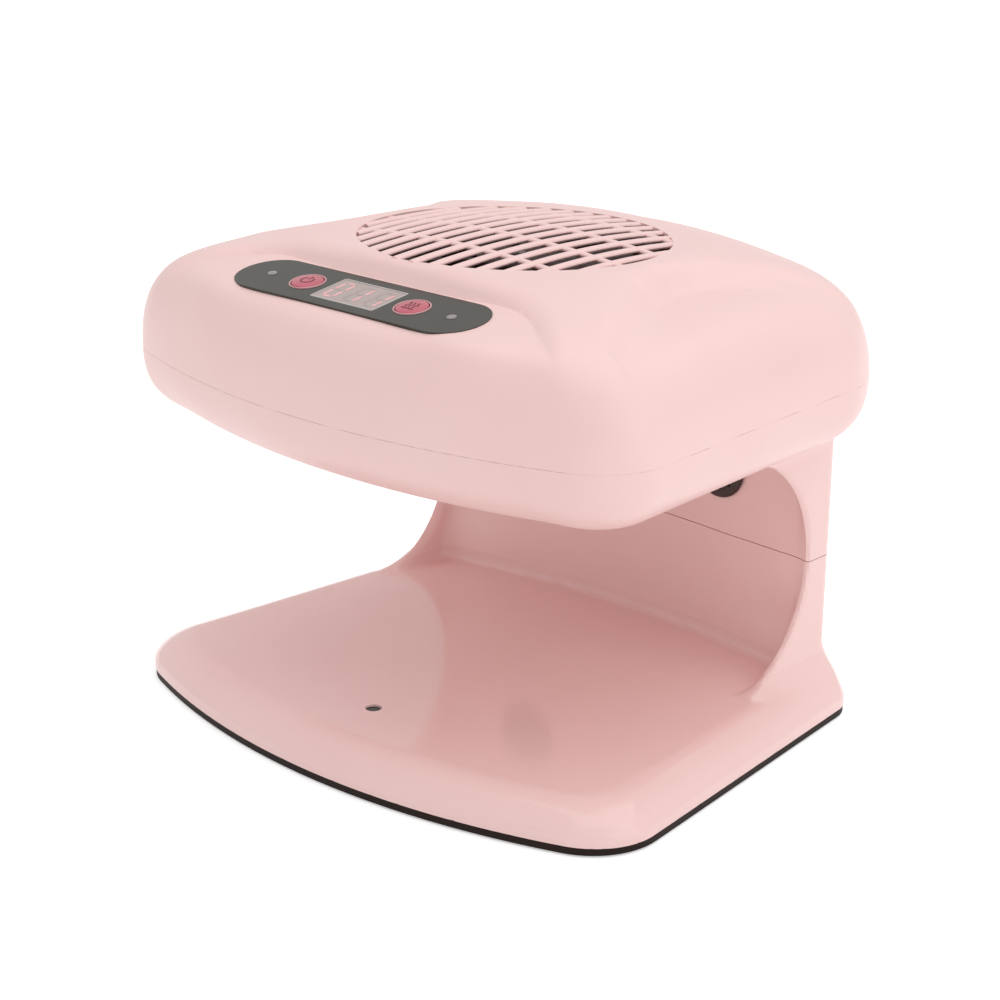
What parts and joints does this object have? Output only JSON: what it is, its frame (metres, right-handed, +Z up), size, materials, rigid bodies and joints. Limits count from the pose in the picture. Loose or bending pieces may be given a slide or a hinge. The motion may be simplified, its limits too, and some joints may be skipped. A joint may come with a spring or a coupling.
{
  "type": "nail polish fan dryer",
  "caption": "Tabletop nail dryer with a pillow-shaped fan head on an arched column over a hand tray, with a slotted air intake, a sloping control panel and sprung buttons.",
  "frame": {"origin": "on the table, at the middle of the dryer's outline seen from above, level with the undersides of the rubber feet", "axes": "+X to the right of someone facing the panel, +Y to the back, +Z up; the front with the panel faces -Y"},
  "size_m": [0.2426, 0.2186, 0.1828],
  "materials": {
    "pink_abs": "polished moulded plastic, pale pink",
    "dark_base": "fine texture, near black",
    "foot_rubber": "plain rubber",
    "black_panel": "smooth black overlay with pale print",
    "button_rose": "smooth rose",
    "button_rim": "smooth pale rose",
    "display_lens": "smooth smoke-tinted window",
    "display_case": "plain pale plastic",
    "lamp_lens": "smooth translucent lens",
    "dark_lens": "smooth dark red lens",
    "board_green": "green solder mask",
    "board_brown": "plain brown laminate",
    "switch_case": "plain black",
    "zinc_screw": "zinc plated",
    "steel_shaft": "ground steel",
    "steel_core": "stacked laminations",
    "motor_steel": "zinc plated, satin",
    "cap_plastic": "plain off-white",
    "ferrite": "matt black",
    "bronze_bush": "sintered",
    "fan_plastic": "satin black",
    "duct_plastic": "satin dark grey",
    "mica": "layered mica board",
    "heating_wire": "dull resistance wire",
    "thermostat_shell": "satin",
    "nickel_pin": "nickel plated",
    "vent_plastic": "satin black",
    "transformer_core": "tape-wrapped core",
    "can_aluminium": "sleeved can",
    "relay_case": "plain blue",
    "lead_sleeve": "plain black sleeve"
  },
  "bodies": {
    "root": {"base_screws": "zinc_screw", "base_shell": "pink_abs", "board_screws": "zinc_screw", "bottom_plate": "dark_base", "capacitor": "can_aluminium", "column_screws": "zinc_screw", "control_board": "board_green", "control_panel": "black_panel", "display_module": "display_case", "display_window": "display_lens", "duct_screws": "zinc_screw", "emitter_board": "board_green", "fan_duct": "duct_plastic", "head_screws": "zinc_screw", "heat_button_ring": "button_rim", "heater_frame": "mica", "heater_relay": "relay_case", "heating_rings": "heating_wire", "indicator_lamps": "lamp_lens", "inlet_pins": "nickel_pin", "left_vent": "vent_plastic", "magnet_ring": "ferrite", "mains_lead": "lead_sleeve", "motor_can": "motor_steel", "motor_end_cap": "cap_plastic", "motor_screws": "zinc_screw", "outlet_grille": "pink_abs", "power_board": "board_brown", "power_button_ring": "button_rim", "power_inlet": "vent_plastic", "push_switches": "switch_case", "receiver_board": "board_green", "right_vent": "vent_plastic", "rubber_feet": "foot_rubber", "sensor_emitter": "dark_lens", "sensor_lead": "lead_sleeve", "sensor_receiver": "dark_lens", "shaft_bushes": "bronze_bush", "thermal_fuse": "nickel_pin", "thermostat": "thermostat_shell", "top_shell": "pink_abs", "transformer": "transformer_core", "upper_body": "pink_abs"},
    "rotor": {"fan": "fan_plastic", "motor_shaft": "steel_shaft", "armature": "steel_core", "shaft_clip": "steel_shaft"},
    "power_key": {"power_button": "button_rose"},
    "heat_key": {"heat_button": "button_rose"}
  },
  "joints": [
    {"name": "fan_spin", "type": "hinge", "parent": "root", "child": "rotor", "pos_m": [0, -0.00205, 0.168], "axis": [0, 0, 1], "continuous": true},
    {"name": "power_press", "type": "slide", "parent": "root", "child": "power_key", "axis": [0, 0.1513, -0.9885], "range_m": [0, 0.0006], "stiffness_N_per_m": 2000},
    {"name": "heat_press", "type": "slide", "parent": "root", "child": "heat_key", "axis": [0, 0.1513, -0.9885], "range_m": [0, 0.0006], "stiffness_N_per_m": 2000}
  ]
}
